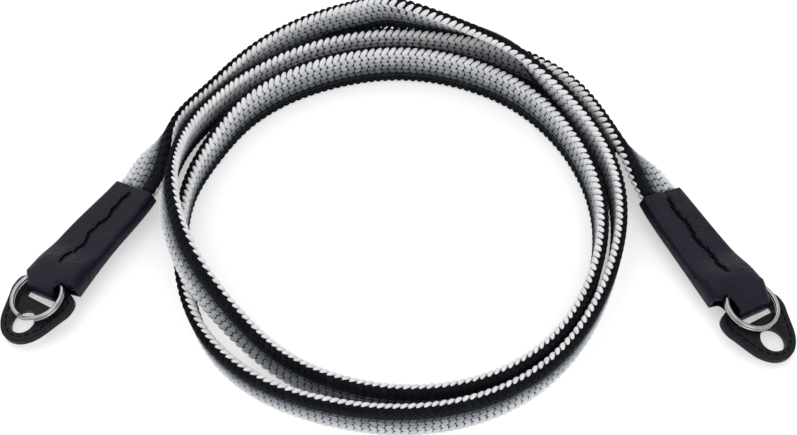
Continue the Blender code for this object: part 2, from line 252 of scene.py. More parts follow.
coil = {
    "radius": 0.054,
    "width": 0.012,
    "thickness": 0.003,
    "endThickness": 0.0018,  # pressed flat and narrow inside the sleeves
    "endWidth": 0.0109,
    "endTaper": 0.008,
    "edgeRadius": 0.0011,
    "setback": 0.007,  # strap end to the sleeve's shoulder
    "sections": 229,  # as many as the band has
    # turn in degrees clockwise from the left (90 is the back), radius as a share of the coil's, lift of the
    # lower edge as a share of the width, lean in degrees
    "route": [
        (-13.5, 1.630, 0.11, 75), (-4.5, 1.418, 0.12, 74), (5, 1.255, 0.13, 70), (12, 1.200, 0.12, 57),
        (20, 1.185, 0.06, 25), (34, 1.136, 0.00, 10), (51, 1.122, 0.04, 2), (62, 1.110, 0.18, 0),
        (72, 1.086, 0.40, 2), (80, 1.058, 0.64, 4), (86, 1.030, 0.88, 6), (91, 0.992, 1.03, 9),
        (98, 0.962, 1.08, 17), (107, 0.952, 1.08, 28), (117, 0.955, 1.08, 36), (126, 0.948, 1.04, 30),
        (135, 0.943, 0.86, 17), (145, 0.964, 0.54, 7), (157, 1.004, 0.18, 0), (172, 1.030, 0.00, -3),
        (190, 1.034, 0.00, -3), (207, 1.042, 0.00, -3), (222, 1.067, 0.00, -3), (235, 1.086, 0.00, -2),
        (250, 1.092, 0.00, 0), (270, 1.088, 0.00, 0), (288, 1.095, 0.00, -3), (302, 1.114, 0.00, -5),
        (314, 1.119, 0.00, -6), (324, 1.104, 0.00, -8), (335, 1.068, 0.00, -8), (346, 1.036, 0.00, -3),
        (358, 1.012, 0.00, 2), (369, 0.988, 0.00, 3), (382, 0.952, 0.00, 0), (396, 0.932, 0.00, -3),
        (410, 0.905, 0.00, -4), (426, 0.874, 0.00, -4), (450, 0.860, 0.00, -4), (470, 0.864, 0.00, -4),
        (490, 0.884, 0.00, -4), (510, 0.902, 0.00, -3), (540, 0.942, 0.00, -3), (565, 0.972, 0.00, -3),
        (590, 1.010, 0.00, -2), (610, 1.010, 0.00, 0), (630, 0.990, 0.00, 0), (652, 0.972, 0.00, 0),
        (664, 0.970, 0.08, 1), (676, 0.982, 0.38, 4), (686, 1.008, 0.78, 9), (695, 1.032, 1.06, 13),
        (705, 1.044, 1.12, 15), (716, 1.056, 1.08, 14), (726, 1.060, 0.80, 10), (737, 1.062, 0.48, 7),
        (749, 1.052, 0.22, 4), (762, 1.030, 0.05, 0), (776, 0.998, 0.00, -4), (792, 0.978, 0.00, -4),
        (808, 0.970, 0.00, -4), (820, 0.973, 0.00, -3), (830, 0.990, 0.00, -2), (840, 1.015, 0.00, -3),
        (850, 1.042, 0.00, -6), (859, 1.064, 0.00, -7), (868, 1.080, 0.00, -2), (877, 1.106, 0.00, 11),
        (885, 1.156, 0.05, 34), (893, 1.213, 0.12, 61), (905, 1.362, 0.12, 72), (915.6, 1.605, 0.12, 77),
    ],
}


def naturalSpline(at, values):
    count = len(at)
    gap = np.diff(at)
    system = np.zeros((count, count))
    right = np.zeros_like(values)
    system[0, 0] = system[-1, -1] = 1
    for i in range(1, count - 1):
        system[i, i - 1:i + 2] = gap[i - 1], 2 * (gap[i - 1] + gap[i]), gap[i]
        right[i] = 6 * ((values[i + 1] - values[i]) / gap[i] - (values[i] - values[i - 1]) / gap[i - 1])
    bend = np.linalg.solve(system, right)

    def value(x):
        k = np.clip(np.searchsorted(at, x) - 1, 0, count - 2)
        h = gap[k][:, None]
        d = (x - at[k])[:, None]
        e = h - d
        cubic = (bend[k] * e ** 3 + bend[k + 1] * d ** 3) / (6 * h)
        return cubic + (values[k] / h - bend[k] * h / 6) * e + (values[k + 1] / h - bend[k + 1] * h / 6) * d

    return value


def stepsAlong(points):
    return np.r_[0, np.cumsum(np.linalg.norm(np.diff(points, axis=0), axis=1))]


def routeFrames():
    # distance along the strap, with its centre, forward, edge and face directions there
    rows = np.array(coil["route"])
    angle = np.radians(rows[:, 0])
    radius = rows[:, 1] * coil["radius"]
    flat = np.c_[-radius * np.cos(angle), radius * np.sin(angle)]
    data = np.c_[flat, rows[:, 2] * coil["width"], np.radians(rows[:, 3])]
    at = stepsAlong(flat)
    fine = naturalSpline(at, data)(np.linspace(0, at[-1], 2001))
    lean = fine[:, 3]
    height = coil["width"] / 2 * np.cos(lean) + coil["thickness"] / 2 * np.abs(np.sin(lean))
    centre = np.c_[fine[:, :2], np.maximum(fine[:, 2], 0) + height]
    forward = np.gradient(centre, axis=0)
    forward /= np.linalg.norm(forward, axis=1)[:, None]
    side = np.c_[-forward[:, 1], forward[:, 0], np.zeros(len(forward))]
    side /= np.linalg.norm(side, axis=1)[:, None]
    up = np.cross(forward, side)
    c, s = np.cos(lean)[:, None], np.sin(lean)[:, None]
    return stepsAlong(centre), np.hstack([centre, forward, c * up - s * side, c * side + s * up])


along, frames = routeFrames()
routeLength = float(along[-1])
shift = np.zeros(3)


def framesAt(distance):
    distance = np.asarray(distance, float)
    inside = np.clip(distance, 0, routeLength)
    rows = np.stack([np.interp(inside, along, column) for column in frames.T], axis=-1)
    centre, forward, edge, face = np.split(rows, 4, axis=-1)
    return centre + shift + forward * (distance - inside)[..., None], forward, edge, face


def bandStops(count):
    return np.linspace(coil["setback"], routeLength - coil["setback"], count)


def settleShift():
    # the part's box is centred on the origin, so the route moves by what the band's own box is off
    low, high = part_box("strap_band")
    centre, forward, edge, face = framesAt(bandStops(coil["sections"]))
    half = edge * coil["width"] / 2
    corners = np.concatenate([centre + half, centre - half])
    return (np.array(low) + np.array(high)) / 2 - (corners.min(axis=0) + corners.max(axis=0)) / 2


shift = settleShift()
print("strap route: length", round(routeLength, 4), "shift", shift.round(5))


# Mesh helpers

def roundedRectangle(halfWidth, low, high, radius, steps, across=1):
    # across is how many parts the upper and lower sides have
    radius = min(radius, halfWidth * 0.95, (high - low) / 2 * 0.95)
    points = []
    for corner, (sx, sy) in enumerate(((1, 1), (-1, 1), (-1, -1), (1, -1))):
        cx = sx * (halfWidth - radius)
        cy = (high - radius) if sy > 0 else (low + radius)
        for i in range(steps + 1):
            turn = math.radians(90 * corner + 90 * i / steps)
            points.append((cx + radius * math.cos(turn), cy + radius * math.sin(turn)))
        if corner in (0, 2):
            reach = 2 * (halfWidth - radius)
            points += [(cx - sx * reach * i / across, points[-1][1]) for i in range(1, across)]
    return points


def ellipse(cx, cy, rx, ry, count):
    turns = [2 * math.pi * i / count for i in range(count)]
    return [(cx + rx * math.cos(t), cy + ry * math.sin(t)) for t in turns]


def eased(share):
    share = min(max(share, 0.0), 1.0)
    return share * share * (3 - 2 * share)


def laid(points, centre, edge, face):
    return [Vector(centre + edge * b + face * a) for b, a in points]


def loft(sections):
    bm = bmesh.new()
    rings = [[bm.verts.new(p) for p in section] for section in sections]
    for first, second in zip(rings, rings[1:]):
        for i in range(len(first)):
            j = (i + 1) % len(first)
            bm.faces.new((first[i], first[j], second[j], second[i]))
    bm.faces.new(rings[0][::-1])
    bm.faces.new(rings[-1])
    bmesh.ops.recalc_face_normals(bm, faces=bm.faces)
    mesh = bpy.data.meshes.new("loft")
    bm.to_mesh(mesh)
    bm.free()
    return mesh


def prism(outline, low, high, matrix):
    return loft([[matrix @ Vector((x, y, z)) for x, y in outline] for z in (low, high)])


def addObject(name, data):
    made = bpy.data.objects.new(name, data)
    bpy.context.scene.collection.objects.link(made)
    return made


def addPiece(name, mesh, material, sharp):
    mesh.materials.clear()
    mesh.materials.append(material)
    mesh.shade_smooth()
    mesh.set_sharp_from_angle(angle=math.radians(sharp))
    return addObject(name, mesh)


def evaluated(piece):
    bpy.context.view_layer.update()
    graph = bpy.context.evaluated_depsgraph_get()
    mesh = bpy.data.meshes.new_from_object(piece.evaluated_get(graph))
    piece.modifiers.clear()
    old = piece.data
    piece.data = mesh
    bpy.data.meshes.remove(old)
    return piece


def cut(piece, meshes):
    knives = [addObject("knife", mesh) for mesh in meshes]
    for knife in knives:
        boolean = piece.modifiers.new("cut", "BOOLEAN")
        boolean.operation = "DIFFERENCE"
        boolean.solver = "EXACT"
        boolean.object = knife
    evaluated(piece)
    for knife in knives:
        bpy.data.objects.remove(knife, do_unlink=True)


def soften(piece, width, edgeAngle, sharp):
    bevel = piece.modifiers.new("softEdge", "BEVEL")
    bevel.width = width
    bevel.segments = 2
    bevel.limit_method = "ANGLE"
    bevel.angle_limit = math.radians(edgeAngle)
    evaluated(piece)
    piece.data.shade_smooth()
    piece.data.set_sharp_from_angle(angle=math.radians(sharp))


# Stitches: one leaf shape on every point of a guide, turned to the guide's own directions

def stitchTree():
    group = bpy.data.node_groups.new("stitches", "GeometryNodeTree")
    inputs = {
        "Geometry": "Geometry", "Half Length": "Float", "Half Width": "Float", "Half Height": "Float",
        "Bend": "Float", "Size Variation": "Float", "Seed": "Int", "Segments": "Int", "Rings": "Int",
        "Material": "Material",
    }
    for name, kind in inputs.items():
        group.interface.new_socket(name, in_out="INPUT", socket_type="NodeSocket" + kind)
    group.interface.new_socket("Geometry", in_out="OUTPUT", socket_type="NodeSocketGeometry")
    tree = Nodes(group)
    given = tree.node("NodeGroupInput")

    def named(name):
        return tree.node("GeometryNodeInputNamedAttribute", {"data_type": "FLOAT_VECTOR"}, {"Name": name})

    sphere = tree.node("GeometryNodeMeshUVSphere", None, {
        "Segments": given.output("Segments"), "Rings": given.output("Rings"), "Radius": 1.0})
    split = tree.node("ShaderNodeSeparateXYZ", None, {0: tree.node("GeometryNodeInputPosition")})
    strand = tree.node("GeometryNodeStoreNamedAttribute", {"data_type": "FLOAT", "domain": "POINT"}, {
        "Geometry": sphere, "Name": "strand", "Value": split.output("Y")})
    longZ = split.output("Z") * given.output("Half Length")
    wideY = split.output("Y") * given.output("Half Width")
    highX = split.output("X") * given.output("Half Height") - longZ * longZ * given.output("Bend")
    shaped = tree.node("ShaderNodeCombineXYZ", None, {0: highX, 1: wideY, 2: longZ})
    leaf = tree.node("GeometryNodeSetPosition", None, {"Geometry": strand, "Position": shaped})
    turn = tree.node("FunctionNodeAxesToRotation", {"primary_axis": "Z", "secondary_axis": "X"}, {
        0: named("leafDir"), 1: named("leafOut")})
    # the random value's number form: least in socket 2, most in 3, result in 1
    size = tree.node("FunctionNodeRandomValue", {"data_type": "FLOAT"}, {
        2: 1.0 - given.output("Size Variation"), 3: 1.0 + given.output("Size Variation"),
        "Seed": given.output("Seed")}, 1)
    points = tree.node("GeometryNodeMeshToPoints", None, {"Mesh": given.output("Geometry")})
    spread = tree.node("GeometryNodeInstanceOnPoints", None, {
        "Points": points, "Instance": leaf, "Rotation": turn, "Scale": size})
    real = tree.node("GeometryNodeRealizeInstances", None, {0: spread})
    smooth = tree.node("GeometryNodeSetShadeSmooth", None, {0: real})
    finish = tree.node("GeometryNodeSetMaterial", None, {
        "Geometry": smooth, "Material": given.output("Material")})
    feed(group.nodes.new("NodeGroupOutput").inputs[0], finish)
    return group


def addGuide(name, points, directions, outwards, shades=None):
    mesh = bpy.data.meshes.new(name)
    mesh.from_pydata([tuple(p) for p in points], [], [])
    for key, values in (("leafDir", directions), ("leafOut", outwards)):
        mesh.attributes.new(key, "FLOAT_VECTOR", "POINT").data.foreach_set("vector", np.ravel(values))
    if shades is not None:
        mesh.attributes.new("shade", "FLOAT", "POINT").data.foreach_set("value", shades)
    return addObject(name, mesh)


def growStitches(guide, values):
    modifier = guide.modifiers.new("stitches", "NODES")
    modifier.node_group = stitches
    for item in stitches.interface.items_tree:
        if item.in_out == "INPUT" and item.name in values:
            modifier[item.identifier] = values[item.name]
    return evaluated(guide)


# Braid: a flat core, which takes the strap_band part's place, and its yarn

braid = {
    "pitch": 0.00187,
    "coreShare": 0.78,  # core's thickness beside the band's
    "coreInset": 0.0009,  # core narrower than the band
    "coreEdge": 0.0009,
    "coreDelay": 0.0005,  # the core swells this far after the band
    "coreSections": 460,
    "faceReach": 0.86,  # share of the half width that the face's columns cover
    "pressed": 0.77,  # share of the faces' distance that stays inside the sleeves
    "tuck": 0.0012,  # how far the stitches run into the sleeves
    "seed": 7,
    "sizeVariation": 0.03,
    "shadeVariation": 0.03,
    "faceShades": [0.0, 0.12, 0.36, 0.53, 0.65, 0.76, 0.88],  # from the dark edge to the light one
    # piece, place across as a share of the half width, place off the middle as a share of the core's half
    # thickness, outward direction across and off, shade
    "edgeColumns": [
        ("yarn_pale_edges", 0.940, 0.66, 0.74, 0.67, 0.97),
        ("yarn_dark_edges", 0.925, -0.80, 0.62, -0.78, 0.0),
    ],
}

# slant in degrees, bend is how fast the ends dip, off is how far a stitch stands off the core
faceStitch = {
    "halfLength": 0.00128, "halfWidth": 0.00080, "halfHeight": 0.00040,
    "slant": 43.0, "bend": 130.0, "off": 0.0,
}
paleEdgeStitch = {
    "halfLength": 0.00148, "halfWidth": 0.00074, "halfHeight": 0.00048,
    "slant": 44.0, "bend": 190.0, "off": 0.00016,
}
darkEdgeStitch = {
    "halfLength": 0.00125, "halfWidth": 0.00066, "halfHeight": 0.00046,
    "slant": 38.0, "bend": 170.0, "off": 0.0,
}
yarns = {
    "yarn_inner_face": faceStitch,
    "yarn_pale_edges": paleEdgeStitch,
    "yarn_dark_edges": darkEdgeStitch,
    "yarn_outer_face": faceStitch,
}


def swellAt(distance, delay=0.0):
    # 0 in the sleeves, where the band is pressed flat and narrow, and 1 in the open
    fromEnd = np.minimum(distance, routeLength - distance)
    return np.clip((fromEnd - sleeve["length"] - delay) / coil["endTaper"], 0, 1)


def buildCore():
    stops = bandStops(braid["coreSections"] + 1)
    centre, forward, edge, face = framesAt(stops)
    swell = swellAt(stops, braid["coreDelay"])
    flat = coil["endThickness"]
    thick = flat + (coil["thickness"] * braid["coreShare"] - flat) * swell
    wide = coil["endWidth"] + (coil["width"] - braid["coreInset"] - coil["endWidth"]) * swell
    sections = []
    for i in range(len(stops)):
        points = roundedRectangle(wide[i] / 2, -thick[i] / 2, thick[i] / 2, braid["coreEdge"], 2, 3)
        sections.append(laid(points, centre[i], edge[i], face[i]))
    return addPiece("braid_core", loft(sections), finishes["core"], 40), [tuple(p) for p in centre]


def stitchColumns():
    # piece, place across as a share of the half width, place off the middle, outward across and off, shade
    core = coil["thickness"] / 2 * braid["coreShare"]
    step = 2 * braid["faceReach"] / len(braid["faceShades"])
    columns = []
    for way, name in ((-1, "yarn_inner_face"), (1, "yarn_outer_face")):
        for i, shade in enumerate(braid["faceShades"]):
            across = way * (braid["faceReach"] - step * (i + 0.5))
            columns.append((name, across, way * core, 0.0, way, shade))
        for name, b, a, outAcross, outOff, shade in braid["edgeColumns"]:
            columns.append((name, -way * b, way * core * a, -way * outAcross, way * outOff, shade))
    return columns


def buildYarn(name):
    shape = yarns[name]
    hidden = sleeve["length"] - braid["tuck"]
    count = int((routeLength - 2 * hidden) / braid["pitch"])
    stops = hidden + (np.arange(count) + 0.5) * (routeLength - 2 * hidden) / count
    centre, forward, edge, face = framesAt(stops)
    swell = swellAt(stops)[:, None]
    half = (coil["endWidth"] + (coil["width"] - coil["endWidth"]) * swell) / 2
    flat = braid["pressed"] + (1 - braid["pressed"]) * swell
    random = np.random.default_rng(braid["seed"])
    points, directions, outwards, shades = [], [], [], []
    for index, (owner, b, a, outAcross, outOff, shade) in enumerate(stitchColumns()):
        if owner != name:
            continue
        out = edge * outAcross + face * outOff
        out /= np.linalg.norm(out, axis=1)[:, None]
        around = np.cross(out, forward)
        turn = math.radians(shape["slant"]) * (1 if index % 2 else -1)  # columns slant by turns
        points.append(centre + edge * b * half + face * a * flat + out * shape["off"])
        directions.append(forward * math.cos(turn) + around * math.sin(turn))
        outwards.append(out)
        shades.append(np.clip(shade + random.normal(0, braid["shadeVariation"], count), 0, 1))
    guide = addGuide(name, *(np.concatenate(part) for part in (points, directions, outwards, shades)))
    return growStitches(guide, {
        "Half Length": shape["halfLength"], "Half Width": shape["halfWidth"],
        "Half Height": shape["halfHeight"], "Bend": shape["bend"], "Size Variation": braid["sizeVariation"],
        "Seed": braid["seed"], "Segments": 6, "Rings": 5, "Material": finishes["yarn"]})


# Leather sleeves and tabs, and split rings, each in its own end's frame: x out of the sleeve, y across, z up

sleeve = {
    "length": 0.033,
    "wall": 0.0009,
    "fit": 0.0003,
    "edgeRadius": 0.0014,
    "eyeDepth": 0.0024,
    "neckOffset": 0.0007,  # neck, tab and ring sit this far off the middle, away from the coil
    "neckTaper": 0.75,  # share of the neck's length over which its outer side slants in
    "neckShare": 0.98,  # the neck's thickness beside the shoulder's
    "rise": 0.010,  # length over which the sleeve thickens to its shoulder
    "widen": 0.0013,  # shoulder wider than the mouth, on each side
    # past the shoulder as a share of the neck's width, the coil side from the neck (0) to the shoulder (1)
    "cove": [(0.015, 0.52), (0.03, 0.36), (0.05, 0.25), (0.08, 0.17), (0.15, 0.07), (0.25, 0.0)],
    "foldRadius": 0.0016,
    "foldTurns": (0, 15, 30, 45, 57, 68, 77),  # degrees round the neck's fold
    "sections": 60,
    "cornerSteps": 6,
    "domeSteps": 26,
    "softEdge": 0.00022,
    "strapGap": 0.0003,  # strap's end to the end of its pocket
    "pocketPast": 0.003,  # how far the pocket's cutter reaches past the mouth, and how fast it opens there
    "pocketFlare": 0.1,
    "step": 0.0002,  # half the length over which the eye's cutter widens
    "seamStart": 0.0045,  # first stitch from the shoulder, last one from the mouth
    "seamEnd": 0.0020,
    "grooveDepth": 0.00022,  # dent along the seam
    "grooveHalf": 0.00075,
    "grooveStart": 0.0035,  # where the dent begins, and the length over which it deepens
    "grooveRun": 0.003,
    "waver": 0.00035,  # seam's waver across and its wave length
    "wave": 0.0095,
    "rippleShare": 0.5,  # a second waver beside the first, its radians in a wave length and at the shoulder
    "rippleTurn": 5.2,
    "rippleStart": 1.0,
    "threadSunk": 0.3,  # share of the dent's depth
    "crossShift": 0.8,  # how far crossed stitches part along the seam, as a share of how far they part across
}

tab = {
    "length": 0.0197,
    "width": 0.0192,
    "thickness": 0.0020,
    "bar": 0.0046,  # wide end to the slot
    "slotLength": 0.0030,
    "slotMargin": 0.0018,
    "slotCorner": 0.3,  # share of the slot's length
    "hole": 0.0139,  # wide end to the hole's centre
    "holeLength": 0.0068,
    "holeWidth": 0.0070,
    "foldGap": 0.0005,
    "stitchInset": 0.0015,
    "threadSunk": 0.0001,
    "grooveHalf": 0.0006,
    "grooveDepth": 0.00014,
    "softEdge": 0.0002,
    "cutReach": 0.02,  # how far the cutters reach above and below
    # set in from the outline and height, from the lower face to the joint of the two layers
    "cutEdge": [(0.00042, 0.0), (0.00013, 0.00012), (0.0, 0.00040), (0.0, 0.00092), (0.00026, 0.00100)],
    # place along as a share of the length, half width as a share of the tab's
    "outline": [
        (0.00, 0.36), (0.015, 0.45), (0.05, 0.50), (0.08, 0.53), (0.103, 0.64), (0.13, 0.79), (0.17, 0.92),
        (0.23, 0.985), (0.31, 1.00), (0.38, 0.985), (0.44, 0.94), (0.57, 0.84), (0.68, 0.76), (0.78, 0.67),
        (0.86, 0.56), (0.915, 0.45), (0.957, 0.33), (0.984, 0.20),
    ],
}

splitRing = {
    "diameter": 0.0144,
    "wire": 0.0011,
    "flatness": 0.80,  # wire's height beside its width
    "turnPitch": 0.0009,
    "gap": 0.0003,
    "jog": 34.0,  # degrees over which the wire climbs to its second turn
    "cutShare": 0.55,  # share of the jog that each cut end leaves open
    "sections": 190,
    "sides": 14,
}

# pitch and the tab's yaw in degrees, how far the neck reaches past the shoulder and its width, and where the
# ring's cut end is
ends = {
    "left": {"atStart": True, "pitch": 5.5, "reach": 0.0043, "neck": 0.0082, "yaw": 4.5, "cutTurn": 8.0},
    "right": {"atStart": False, "pitch": 4.3, "reach": 0.0070, "neck": 0.0101, "yaw": 3.0, "cutTurn": 200.0},
}

# half length and radius of a stitch, pitch along the seam, and each row's slant in degrees and distance off
# the seam
seams = {
    "left": {"halfLength": 0.00150, "radius": 0.00034, "pitch": 0.00210, "rows": [(15.0, 0.0)]},
    "right": {"halfLength": 0.00150, "radius": 0.00030, "pitch": 0.00230,
              "rows": [(25.0, -0.00014), (-25.0, 0.00014)]},
    "tab": {"halfLength": 0.00082, "radius": 0.00019, "pitch": 0.0021},
}

# heights in an end's frame
halfInside = coil["endThickness"] / 2 + sleeve["fit"]
levels = {"sleeveBottom": -halfInside - sleeve["wall"], "eyeBottom": -halfInside}
levels["tabBottom"] = levels["eyeBottom"] + splitRing["gap"]
levels["tabTop"] = levels["tabBottom"] + tab["thickness"]
levels["ringBottom"] = levels["tabTop"] + splitRing["gap"]
levels["ringTop"] = levels["ringBottom"] + splitRing["wire"] + splitRing["turnPitch"]
levels["eyeTop"] = levels["ringTop"] + splitRing["gap"]
levels["neckTop"] = levels["eyeTop"] + sleeve["wall"]
levels["sideTop"] = levels["tabTop"] + splitRing["gap"] + sleeve["wall"]
levels["sleeveTop"] = halfInside + sleeve["wall"]
sleeveHalf = coil["endWidth"] / 2 + sleeve["fit"] + sleeve["wall"] + sleeve["widen"]
ringCentre = splitRing["diameter"] / 2 - sleeve["eyeDepth"] + splitRing["gap"]


def sleeveFrame(end, depth):
    return framesAt(depth if end["atStart"] else routeLength - depth)


def outerSide(end):
    return -sleeve["neckOffset"] if end["atStart"] else sleeve["neckOffset"]


def endMatrix(end):
    centre, forward, edge, face = (Vector(v) for v in sleeveFrame(end, 0.0))
    out = -forward if end["atStart"] else forward
    turn = math.radians(end["pitch"])
    x = out * math.cos(turn) - face * math.sin(turn)
    z = face * math.cos(turn) + out * math.sin(turn)
    across = edge if z.cross(x).dot(edge) > 0 else -edge
    matrix = Matrix((x, across, z)).transposed().to_4x4()
    matrix.translation = centre
    return matrix


def edgeSign(end, edge):
    return 1 if Vector(edge).dot(endMatrix(end).col[1].to_3d()) > 0 else -1


def tabMatrix(end):
    start = end["reach"] - sleeve["wall"] - tab["foldGap"]
    middle = start + tab["slotLength"] / 2
    pivot = Matrix.Translation((middle, outerSide(end), 0))
    turn = Matrix.Rotation(math.radians(-end["yaw"] if end["atStart"] else end["yaw"]), 4, "Z")
    return endMatrix(end) @ pivot @ turn @ Matrix.Translation((-middle, 0, 0)), start


def domedSection(halfWidth, middle, side, seamPlace=0.0, seamShare=0.0):
    # a rounded box whose top rises from the sides' level to the middle's
    steps = sleeve["cornerSteps"]
    points = roundedRectangle(halfWidth, levels["sleeveBottom"], side, sleeve["edgeRadius"], steps)

    def rise(b):
        return (middle - side) * math.sqrt(max(0.0, 1 - (b / halfWidth) ** 4))

    arched = []
    right, left = points[steps][0], points[steps + 1][0]
    for i, (b, a) in enumerate(points):
        upper = 1 - (side - a) / sleeve["edgeRadius"] if i < 2 * (steps + 1) else 0
        arched.append((b, a + upper * rise(b)))
        if i == steps:
            for k in range(1, sleeve["domeSteps"]):
                b = right + (left - right) * k / sleeve["domeSteps"]
                dent = math.exp(-((b - seamPlace) / sleeve["grooveHalf"]) ** 2) * sleeve["grooveDepth"]
                arched.append((b, side + rise(b) - dent * seamShare))
    return arched


def sleeveLevels(depth):
    rise = eased((sleeve["rise"] + sleeve["eyeDepth"] - depth) / sleeve["rise"])
    base = levels["sleeveTop"]
    return base + (levels["neckTop"] - base) * rise, base + (levels["sideTop"] - base) * rise


def seamAt(depth):
    # the seam's place across and its share of the full dent
    turn = depth / sleeve["wave"]
    ripple = sleeve["rippleShare"] * math.sin(turn * sleeve["rippleTurn"] + sleeve["rippleStart"])
    place = sleeve["waver"] * (math.sin(turn * 2 * math.pi) + ripple)
    return place, min(max((depth - sleeve["grooveStart"]) / sleeve["grooveRun"], 0.0), 1.0)


def sleeveBody(end):
    sections = []
    for i in range(sleeve["sections"] + 1):
        depth = sleeve["length"] - (sleeve["length"] - sleeve["eyeDepth"]) * i / sleeve["sections"]
        centre, forward, edge, face = sleeveFrame(end, depth)
        half = sleeveHalf - sleeve["widen"] * depth / sleeve["length"]
        points = domedSection(half, *sleeveLevels(depth), *seamAt(depth))
        sections.append(laid(points, centre, edge * edgeSign(end, edge), face))
    return sections


def sleeveNeck(end):
    matrix = endMatrix(end)
    x, across, z = (np.array(matrix.col[i][:3]) for i in range(3))
    origin = np.array(matrix.translation)
    coilSide = 1 if end["atStart"] else -1
    outer = outerSide(end)
    neck = end["neck"] / 2
    neckEdge = (neck + sleeve["neckOffset"]) / sleeveHalf
    neckSide = levels["sideTop"] + (levels["neckTop"] - levels["sideTop"]) * math.sqrt(1 - neckEdge ** 4)
    level = (levels["neckTop"] + levels["sleeveBottom"]) / 2

    def section(out, widening, sideTop, squash):
        taper = max(0.0, 1 - out / (sleeve["neckTaper"] * end["reach"]))
        near = coilSide * (neck * (1 - widening) + sleeveHalf * widening) + outer * (1 - widening)
        far = -coilSide * (neck * (1 - taper) + sleeveHalf * taper) + outer * (1 - taper)
        points = domedSection(abs(near - far) / 2, levels["neckTop"], sideTop)
        moved = [(b + (near + far) / 2, level + (a - level) * squash) for b, a in points]
        return laid(moved, origin + x * out, across, z)

    sections = [section(-sleeve["step"], 1, levels["sideTop"], 1)]
    for share, widening in sleeve["cove"]:
        sideTop = neckSide + (levels["sideTop"] - neckSide) * widening
        sections.append(section(share * end["neck"], widening, sideTop, sleeve["neckShare"]))
    for turn in sleeve["foldTurns"]:
        t = math.radians(turn)
        out = end["reach"] - sleeve["foldRadius"] * (1 - math.sin(t))
        sections.append(section(out, 0, neckSide, sleeve["neckShare"] * math.cos(t)))
    return sections


def pocketKnife(end):
    # room for the strap, from its end to past the mouth
    first = coil["setback"] - sleeve["strapGap"]
    reach = sleeve["length"] + sleeve["pocketPast"] - coil["setback"]
    sections = []
    steps = 39
    for i in range(steps + 1):
        depth = first + reach * i / steps
        centre, forward, edge, face = sleeveFrame(end, depth)
        half = halfInside + max(0.0, depth - sleeve["length"]) * sleeve["pocketFlare"]
        points = roundedRectangle(coil["endWidth"] / 2 + sleeve["fit"], -half, half, coil["edgeRadius"], 3, 4)
        sections.append(laid(points, centre, edge, face))
    return loft(sections)


def eyeKnives(end):
    # room for the tab's bar and, above it, for the ring
    matrix = endMatrix(end)
    inner = end["reach"] - sleeve["wall"]
    narrow, wide = sleeveHalf - sleeve["wall"], sleeveHalf * 2
    step = sleeve["step"]
    halfBox = [(-sleeve["eyeDepth"], narrow), (-step, narrow), (step, wide), (inner, wide)]
    box = halfBox + [(x, -y) for x, y in reversed(halfBox)]
    room = splitRing["diameter"] / 2 + splitRing["gap"]
    ring = ellipse(ringCentre, outerSide(end), room, room, 72)
    well = [p for p in ring if p[0] < inner - splitRing["gap"]]
    return [prism(box, levels["eyeBottom"], levels["tabTop"] + splitRing["gap"], matrix),
            prism(well, levels["tabTop"], levels["eyeTop"], matrix)]


def buildSleeve(side):
    end = ends[side]
    mesh = loft(sleeveBody(end) + sleeveNeck(end))
    piece = addPiece("leather_sleeve_" + side, mesh, finishes["leather"], 180)
    cut(piece, [pocketKnife(end)] + eyeKnives(end))
    soften(piece, sleeve["softEdge"], edgeAngle=50, sharp=55)
    return piece


def sewThread(name, seam, rows):
    # rows of place, direction and outward
    guide = addGuide(name, *([tuple(row[k]) for row in rows] for k in range(3)))
    return growStitches(guide, {
        "Half Length": seam["halfLength"], "Half Width": seam["radius"], "Half Height": seam["radius"],
        "Segments": 8, "Rings": 7, "Material": finishes["thread"]})


def buildSleeveThread(side):
    end, seam = ends[side], seams[side]
    first = sleeve["seamStart"]
    reach = sleeve["length"] - first - sleeve["seamEnd"]
    count = int(reach / seam["pitch"])
    near = 0.001  # the slope of the top is taken over this far each way
    rows = []
    for i in range(count):
        depth = first + (i + 0.5) * reach / count
        centre, forward, edge, face = sleeveFrame(end, depth)
        climb = (sleeveLevels(depth + near)[0] - sleeveLevels(depth - near)[0]) / (2 * near)
        rising = forward + face * climb * (1 if end["atStart"] else -1)
        top = sleeveLevels(depth)[0] - sleeve["grooveDepth"] * sleeve["threadSunk"]
        place = seamAt(depth)[0] * edgeSign(end, edge)
        for lean, off in seam["rows"]:
            # one row of stitches leans by turns, two rows cross
            t = math.radians(lean * (1 if i % 2 or len(seam["rows"]) > 1 else -1))
            direction = rising * math.cos(t) + edge * math.sin(t)
            spot = centre + edge * (place + off) + face * top + forward * off * sleeve["crossShift"]
            rows.append((spot, direction, face))
    return sewThread("thread_sleeve_" + side, seam, rows)


def tabOutline(inset, count):
    # points round the tab, set in from its edge, and their directions
    half = [(s * tab["length"], w * tab["width"] / 2) for s, w in tab["outline"]] + [(tab["length"], 0)]
    corners = np.array(half + [(x, -y) for x, y in reversed(half[:-1])])
    step = stepsAlong(corners)
    curve = naturalSpline(step, corners)(np.linspace(0, step[-1], count))
    tangent = np.gradient(curve, axis=0)
    tangent /= np.linalg.norm(tangent, axis=1)[:, None]
    return curve + np.c_[tangent[:, 1], -tangent[:, 0]] * inset, tangent


